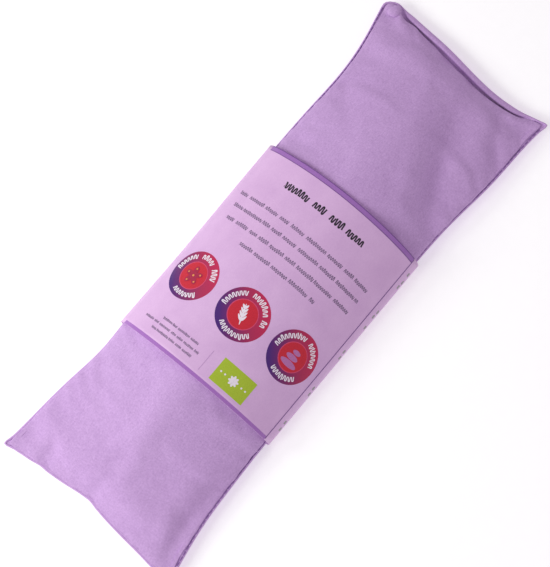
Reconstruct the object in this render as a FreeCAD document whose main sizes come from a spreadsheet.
"""Eye pillow: a seed-filled inner pillow in a sewn cover with an open mouth, held in a folded card sleeve.

Frame: +X along the pillow towards the mouth, +Z up, origin at the bottom centre. Millimetres.
"""

import FreeCAD
import Part
import Sketcher
import math
import os
from FreeCAD import Vector

SIZES = {
    # cover, measured over the cloth
    "CoverLength": 240.0,
    "CornerWidth": 85.0,
    "WaistWidth": 75.6,
    "EndBow": 3.2,
    "CoverBase": 1.2,
    "SideSeamRise": 5.0,
    "EndSeamRise": 3.0,
    "CoverThickness": 23.3,
    "CoverCloth": 0.5,
    "SeamTurn": 1.0,
    "SeamGap": 0.4,
    "SeamEndMargin": 2.5,
    # mouth, in the +X end seam
    "MouthWidth": 70.0,
    "LipDepth": 3.0,
    "MouthGap": 1.2,
    "HemDepth": 9.0,
    # inner pillow
    "BagLength": 226.0,
    "BagCornerWidth": 74.6,
    "BagWaistWidth": 72.4,
    "BagEndBow": 2.4,
    "BagCloth": 0.4,
    "LayerGap": 0.35,
    "FillGap": 0.15,
    "FillRim": 0.3,
    # sewing thread
    "ThreadWidth": 0.5,
    "ThreadThickness": 0.3,
    "ThreadClearance": 0.05,
    # card sleeve
    "SleeveLength": 95.0,
    "SleeveStart": -55.0,
    "CardThickness": 0.35,
    "SleeveHeight": 25.2,
    "FoldHalfWidth": 36.75,
    "FoldHeight": 10.65,
    "SideHalfWidth": 38.9,
    "CreaseHalfWidth": 37.4,
    "FlapHalfWidth": 8.0,
    "GlueThickness": 0.1,
    "GlueWidth": 13.0,
    "GlueEndMargin": 3.0,
}

FLARE_POWER = 5  # how late the sides flare out towards the corners
BOTTOM_POWER = 6  # how flat the underside is across its width
END_POWER = 8  # how flat the underside is along its length
LIP_POWER = 9  # how close to the mouth the front panel gives way
ALONG_STEPS = 24
ACROSS_STEPS = 14

doc = FreeCAD.newDocument("EyePillow")


def make_sheet():
    """The spreadsheet with one driving dimension in each row, by its alias."""
    sheet = doc.addObject("Spreadsheet::Sheet", "Sizes")
    for row, (alias, value) in enumerate(SIZES.items(), start=1):
        sheet.set("A%d" % row, alias)
        sheet.set("B%d" % row, str(value))
        sheet.setAlias("B%d" % row, alias)
    doc.recompute()
    return sheet


sheet = make_sheet()


def size(alias):
    """A driving dimension, read from the spreadsheet."""
    return float(sheet.get(alias))


class Cushion:
    """A filled cloth form with a knife-edge seam all round: where its top, its underside and its seam run.

    u goes from -1 at the closed end to 1 at the mouth end, and v from -1 to 1 across the width.
    """

    def __init__(self, length, corner_width, waist_width, bow, base, thickness):
        self.half_length = length / 2
        self.half_corner = corner_width / 2
        self.half_waist = waist_width / 2
        self.bow = bow
        self.base = base
        self.thickness = thickness
        self.cover_base = size("CoverBase")

    def shrunk(self, turn, cloth):
        """The same form inside a cloth of this thickness, whose seam is turned in by this much."""
        return Cushion(
            2 * (self.half_length - turn),
            2 * (self.half_corner - turn),
            2 * (self.half_waist - turn),
            self.bow,
            self.base + cloth,
            self.thickness - 2 * cloth,
        )

    def plan(self, u, v):
        """The place over the ground."""
        half_width = self.half_waist + (self.half_corner - self.half_waist) * abs(u) ** FLARE_POWER
        bowed = self.bow * (1 - v * v) * u**4
        return u * self.half_length - math.copysign(bowed, u), v * half_width

    def seam(self, u):
        """The height of the seam, which is level with the cover's seam at the same place along it."""
        share = u * self.half_length / (size("CoverLength") / 2)
        droop = size("SideSeamRise") - size("EndSeamRise")
        return self.cover_base + size("SideSeamRise") - droop * share * share

    def crown(self, u, v):
        """The top's height over the seam."""
        highest = self.base + self.thickness - size("SeamGap") - self.seam(0)
        lengthwise = (1 - u**4) * (1 - 0.15 * u * u)
        crosswise = (1 - v * v) * (1 + 0.25 * v * v)
        return highest * lengthwise * crosswise

    def top(self, u, v):
        x, y = self.plan(u, v)
        return Vector(x, y, self.seam(u) + self.crown(u, v))

    def underside(self, u, v):
        x, y = self.plan(u, v)
        rise = 1 - (1 - abs(v) ** BOTTOM_POWER) * (1 - abs(u) ** END_POWER)
        return Vector(x, y, self.base + (self.seam(u) - self.base) * rise)


def steps(first, last, count):
    """Values from first to last, in equal steps."""
    return [first + (last - first) * i / count for i in range(count + 1)]


def grid(point, along=(-1.0, 1.0), across=(-1.0, 1.0), along_steps=ALONG_STEPS, across_steps=ACROSS_STEPS):
    """Rows of points for a surface, from a function of u and v."""
    return [
        [point(u, v) for v in steps(across[0], across[1], across_steps)]
        for u in steps(along[0], along[1], along_steps)
    ]


def raised(rows, height):
    """The same rows of points, moved up."""
    return [[p + Vector(0, 0, height) for p in row] for row in rows]


def solid_between(upper, lower):
    """The closed solid between two surfaces, each interpolated through its rows of points."""
    surfaces = []
    for rows in (upper, lower):
        surface = Part.BSplineSurface()
        surface.interpolate(rows)
        surfaces.append(surface)
    faces = [s.toShape() for s in surfaces]
    u0, u1, v0, v1 = surfaces[0].bounds()
    for a, b in (
        (surfaces[0].uIso(u0), surfaces[1].uIso(u0)),
        (surfaces[0].uIso(u1), surfaces[1].uIso(u1)),
        (surfaces[0].vIso(v0), surfaces[1].vIso(v0)),
        (surfaces[0].vIso(v1), surfaces[1].vIso(v1)),
    ):
        faces.append(Part.makeRuledSurface(a.toShape(), b.toShape()))
    shell = Part.makeShell(faces)
    shell.sewShape()
    solid = Part.makeSolid(shell.Shells[0])
    if solid.Volume < 0:
        solid.reverse()
    return solid


def add_piece(name, shape):
    """A piece whose shape no parametric feature makes: cloth, thread or loose fill."""
    piece = doc.addObject("Part::Feature", name)
    piece.Label = name
    piece.Shape = shape
    piece.Placement = FreeCAD.Placement()
    return piece


def at_mouth(u, v):
    """How far a point of the front panel is given over to the mouth: 1 on its edge, 0 away from it."""
    mouth_share = size("MouthWidth") / size("CornerWidth")
    return max(u, 0.0) ** LIP_POWER * (1 - min(1.0, abs(v) / mouth_share) ** 4) ** 2


def with_mouth(surface):
    """A surface of the front panel, set back from the end and lifted along the mouth."""

    def point(u, v):
        share = at_mouth(u, v)
        return surface(u, v) + Vector(-size("LipDepth") * share, 0, size("MouthGap") * share)

    return point


cover_outside = Cushion(
    size("CoverLength"),
    size("CornerWidth"),
    size("WaistWidth"),
    size("EndBow"),
    size("CoverBase"),
    size("CoverThickness"),
)
cover_inside = cover_outside.shrunk(size("SeamTurn"), size("CoverCloth"))
bag_outside = Cushion(
    size("BagLength"),
    size("BagCornerWidth"),
    size("BagWaistWidth"),
    size("BagEndBow"),
    cover_inside.base + size("LayerGap"),
    cover_inside.thickness - 2 * size("LayerGap"),
)
bag_inside = bag_outside.shrunk(size("SeamTurn"), size("BagCloth"))
fill_form = Cushion(
    2 * (bag_inside.half_length - size("SeamTurn")),
    2 * (bag_inside.half_corner - size("SeamTurn")),
    2 * (bag_inside.half_waist - size("SeamTurn")),
    size("BagEndBow"),
    bag_inside.base + size("FillGap"),
    bag_inside.thickness - 2 * size("FillGap") + size("SeamGap") - size("FillRim"),
)


def cover_panels():
    """The front panel stops short of the end along the mouth; the back panel's hem lip runs on past it."""
    front_outer = raised(grid(with_mouth(cover_outside.top)), size("SeamGap"))
    front_inner = raised(grid(with_mouth(cover_inside.top)), size("SeamGap"))
    add_piece("cover_front_panel", solid_between(front_outer, front_inner))
    back_inner = grid(cover_inside.underside)
    back_outer = grid(cover_outside.underside)
    add_piece("cover_back_panel", solid_between(back_inner, back_outer))


def bag_panels():
    """The inner bag's two calico panels."""
    front_outer = raised(grid(bag_outside.top), size("SeamGap"))
    front_inner = raised(grid(bag_inside.top), size("SeamGap"))
    add_piece("inner_bag_front", solid_between(front_outer, front_inner))
    back_inner = grid(bag_inside.underside)
    back_outer = grid(bag_outside.underside)
    add_piece("inner_bag_back", solid_between(back_inner, back_outer))


def fill():
    """The loose seed and lavender mix, as the one form it takes in the bag."""
    upper = raised(grid(fill_form.top), size("FillRim"))
    add_piece("seed_fill", solid_between(upper, grid(fill_form.underside)))


def thread_on(point, along, across, along_steps, across_steps):
    """A flat strip of thread whose lower face follows a function of u and v."""
    lower = grid(point, along, across, along_steps, across_steps)
    return solid_between(raised(lower, size("ThreadThickness")), lower)


def seam_point(form):
    """A point in the gap between a form's two panels, on its seam."""

    def point(u, v):
        x, y = form.plan(u, v)
        return Vector(x, y, form.seam(u) + size("ThreadClearance"))

    return point


def side_seam(form, side):
    """The thread down one side seam, halfway across the turned edge."""
    margin = size("SeamEndMargin") / form.half_length
    middle = 1 - size("SeamTurn") / 2 / form.half_waist
    half_width = size("ThreadWidth") / 2 / form.half_waist
    across = (side * (middle - half_width), side * (middle + half_width))
    return thread_on(seam_point(form), (margin - 1, 1 - margin), across, ALONG_STEPS, 1)


def end_seam(form, end, from_share, to_share):
    """The thread along part of an end seam, between two shares of the half width."""
    middle = 1 - size("SeamTurn") / 2 / form.half_length
    half_width = size("ThreadWidth") / 2 / form.half_length
    along = (end * (middle - half_width), end * (middle + half_width))
    return thread_on(seam_point(form), along, (from_share, to_share), 1, ACROSS_STEPS)


def cover_threads():
    """The cover's seams: both sides, the closed end, and the short seams that close the end beside the mouth."""
    add_piece("side_seam_thread_left", side_seam(cover_outside, 1))
    add_piece("side_seam_thread_right", side_seam(cover_outside, -1))
    corner = 1 - size("SeamEndMargin") / cover_outside.half_corner
    mouth = size("MouthWidth") / size("CornerWidth") + (1 - corner) / 2
    add_piece("end_seam_thread", end_seam(cover_outside, -1, -corner, corner))
    beside_mouth = [end_seam(cover_outside, 1, side * mouth, side * corner) for side in (1, -1)]
    add_piece("mouth_corner_threads", Part.makeCompound(beside_mouth))


def hem_threads():
    """The stitch row of each mouth hem, lying on the inside of its panel."""
    middle = 1 - size("HemDepth") / cover_outside.half_length
    half_width = size("ThreadWidth") / 2 / cover_outside.half_length
    along = (middle - half_width, middle + half_width)
    across_share = size("MouthWidth") / size("CornerWidth")
    across = (-across_share, across_share)
    below = size("SeamGap") - size("ThreadClearance") - size("ThreadThickness")
    front_face = with_mouth(cover_inside.top)
    back_face = cover_inside.underside
    front = thread_on(lambda u, v: front_face(u, v) + Vector(0, 0, below), along, across, 1, ACROSS_STEPS)
    above = Vector(0, 0, size("ThreadClearance"))
    back = thread_on(lambda u, v: back_face(u, v) + above, along, across, 1, ACROSS_STEPS)
    add_piece("front_hem_thread", front)
    add_piece("back_hem_thread", back)


def bag_threads():
    """The inner bag's seams: both sides, the sewn end, and the end it was filled through."""
    add_piece("inner_side_thread_left", side_seam(bag_outside, 1))
    add_piece("inner_side_thread_right", side_seam(bag_outside, -1))
    corner = 1 - size("SeamEndMargin") / bag_outside.half_corner
    add_piece("inner_end_thread", end_seam(bag_outside, -1, -corner, corner))
    add_piece("inner_closing_thread", end_seam(bag_outside, 1, -corner, corner))


def arc_radius(half_chord, rise):
    """The radius of an arc, as an expression, from expressions for half its chord and for its rise."""
    return "((%s)^2 + (%s)^2) / (2 * (%s))" % (half_chord, rise, rise)


def section_arc(start, end, radius):
    """An arc between two corners that bulges away from the middle of the section."""
    middle = (start + end) / 2
    chord = end - start
    outwards = Vector(chord.y, -chord.x, 0).normalize()
    if outwards.dot(middle - Vector(0, size("FoldHeight") / 2, 0)) < 0:
        outwards = -outwards
    centre = middle - outwards * math.sqrt(radius**2 - (chord.Length / 2) ** 2)
    angles = [math.atan2(p.y - centre.y, p.x - centre.x) for p in (start, end)]
    if (angles[1] - angles[0]) % (2 * math.pi) > math.pi:
        angles.reverse()
    return Part.ArcOfCircle(Part.Circle(centre, Vector(0, 0, 1), radius), *angles)


def sleeve_section():
    """The corners of the card's cross-section, as expressions for y and z, and its arcs, as radii.

    It is one strip that ends in a glued overlap under the pillow. Its outer face runs from the covered end round
    to the end of the flap, and its inner face runs back. An arc runs from the corner that names it to the next.
    """
    card = "Sizes.CardThickness"
    lap = "Sizes.FlapHalfWidth"
    fold = "Sizes.FoldHalfWidth"
    crease = "Sizes.CreaseHalfWidth"
    height = "Sizes.FoldHeight"
    lift = "(%s + Sizes.GlueThickness)" % card
    corners = {
        "covered_end": ("-" + lap, "0"),
        "crease_left": (crease, "0"),
        "fold_left": (fold, height),
        "fold_right": ("-" + fold, height),
        "crease_right": ("-" + crease, "0"),
        "joggle_start": ("-%s - 4 * %s" % (lap, card), "0"),
        "joggle_end": ("-%s - %s" % (lap, card), lift),
        "flap_end": (lap, lift),
        "flap_end_inner": (lap, "%s + %s" % (lift, card)),
        "joggle_end_inner": ("-%s - 1.5 * %s" % (lap, card), "%s + %s" % (lift, card)),
        "joggle_start_inner": ("-%s - 4.5 * %s" % (lap, card), card),
        "crease_right_inner": ("-%s + 0.6 * %s" % (crease, card), card),
        "fold_right_inner": ("-%s + 0.9 * %s" % (fold, card), "%s - 0.4 * %s" % (height, card)),
        "fold_left_inner": ("%s - 0.9 * %s" % (fold, card), "%s - 0.4 * %s" % (height, card)),
        "crease_left_inner": ("%s - 0.6 * %s" % (crease, card), card),
        "covered_end_inner": ("-" + lap, card),
    }
    bulge = "Sizes.SideHalfWidth - (%s + %s) / 2" % (crease, fold)
    side_half = "sqrt(%s^2 + (%s - %s)^2) / 2" % (height, crease, fold)
    side_half_inner = "(%s) - 0.7 * %s" % (side_half, card)
    crown = "Sizes.SleeveHeight - %s" % height
    crown_inner = "Sizes.SleeveHeight - 0.6 * %s - %s" % (card, height)
    arcs = {
        "crease_left": arc_radius(side_half, bulge),
        "fold_left": arc_radius(fold, crown),
        "fold_right": arc_radius(side_half, bulge),
        "crease_right_inner": arc_radius(side_half_inner, bulge),
        "fold_right_inner": arc_radius("%s - 0.9 * %s" % (fold, card), crown_inner),
        "fold_left_inner": arc_radius(side_half_inner, bulge),
    }
    return corners, arcs


def draw_section(sketch, corners, arcs):
    """Draws the closed outline and ties each corner and radius to its expression."""
    names = list(corners)
    values = {n: [float(sketch.evalExpression(e)) for e in corners[n]] for n in names}
    ends = {}
    for name, following in zip(names, names[1:] + names[:1]):
        start = Vector(*values[name], 0)
        end = Vector(*values[following], 0)
        if name in arcs:
            piece = section_arc(start, end, float(sketch.evalExpression(arcs[name])))
        else:
            piece = Part.LineSegment(start, end)
        index = sketch.addGeometry(piece, False)
        drawn = sketch.Geometry[index]
        first = 1 if (drawn.StartPoint - start).Length < (drawn.EndPoint - start).Length else 2
        ends[name] = (index, first, 3 - first)
    for name, following in zip(names, names[1:] + names[:1]):
        index, first, last = ends[name]
        sketch.addConstraint(Sketcher.Constraint("Coincident", index, last, *ends[following][:2]))
        for axis, expression, value in zip("XY", corners[name], values[name]):
            if value == 0:
                sketch.addConstraint(Sketcher.Constraint("PointOnObject", index, first, -1))
                continue
            distance = Sketcher.Constraint("Distance" + axis, -1, 1, index, first, value)
            number = sketch.addConstraint(distance)
            sketch.setExpression("Constraints[%d]" % number, expression)
        if name in arcs:
            radius = Sketcher.Constraint("Radius", index, float(sketch.evalExpression(arcs[name])))
            number = sketch.addConstraint(radius)
            sketch.setExpression("Constraints[%d]" % number, arcs[name])


def sleeve_card():
    """The card sleeve: its cross-section padded along the pillow."""
    body = doc.addObject("PartDesign::Body", "sleeve_card")
    body.Label = "sleeve_card"
    sketch = body.newObject("Sketcher::SketchObject", "CardSection")
    plane = next(o for o in body.Origin.OriginFeatures if o.Role == "YZ_Plane")
    sketch.AttachmentSupport = [(plane, "")]
    sketch.MapMode = "FlatFace"
    doc.recompute()
    draw_section(sketch, *sleeve_section())
    doc.recompute()
    pad = body.newObject("PartDesign::Pad", "CardLength")
    pad.Profile = sketch
    pad.setExpression("Length", "Sizes.SleeveLength")
    body.setExpression(".Placement.Base.x", "Sizes.SleeveStart")
    return body


def sleeve_glue():
    """The film of glue between the flap and the covered end."""
    glue = doc.addObject("Part::Box", "sleeve_glue_line")
    glue.Label = "sleeve_glue_line"
    glue.setExpression("Length", "Sizes.SleeveLength - 2 * Sizes.GlueEndMargin")
    glue.setExpression("Width", "Sizes.GlueWidth")
    glue.setExpression("Height", "Sizes.GlueThickness")
    glue.setExpression(".Placement.Base.x", "Sizes.SleeveStart + Sizes.GlueEndMargin")
    glue.setExpression(".Placement.Base.y", "-Sizes.GlueWidth / 2")
    glue.setExpression(".Placement.Base.z", "Sizes.CardThickness")
    return glue


PIECES = (
    "cover_front_panel",
    "cover_back_panel",
    "side_seam_thread_left",
    "side_seam_thread_right",
    "end_seam_thread",
    "mouth_corner_threads",
    "front_hem_thread",
    "back_hem_thread",
    "inner_bag_front",
    "inner_bag_back",
    "inner_side_thread_left",
    "inner_side_thread_right",
    "inner_end_thread",
    "inner_closing_thread",
    "seed_fill",
    "sleeve_card",
    "sleeve_glue_line",
)


def checked_pieces():
    """Each piece by its label, once nothing in the document has failed and every shape is sound."""
    doc.recompute()
    for o in doc.Objects:
        if "Invalid" in o.State or "Error" in o.State:
            raise RuntimeError("%s failed to build" % o.Label)
    pieces = {name: doc.getObjectsByLabel(name)[0] for name in PIECES}
    for name, piece in pieces.items():
        if piece.Shape.isNull() or not piece.Shape.isValid() or piece.Shape.Volume <= 0:
            raise RuntimeError("%s has no sound shape" % name)
    return pieces


def export(pieces):
    """Writes each piece to its own file."""
    os.makedirs("parts", exist_ok=True)
    for name, piece in pieces.items():
        piece.Shape.exportStep("parts/%s.step" % name)
        box = piece.Shape.BoundBox
        print("%-24s %7.1f x %5.1f x %5.1f mm" % (name, box.XLength, box.YLength, box.ZLength))


cover_panels()
cover_threads()
hem_threads()
bag_panels()
bag_threads()
fill()
sleeve_card()
sleeve_glue()
export(checked_pieces())
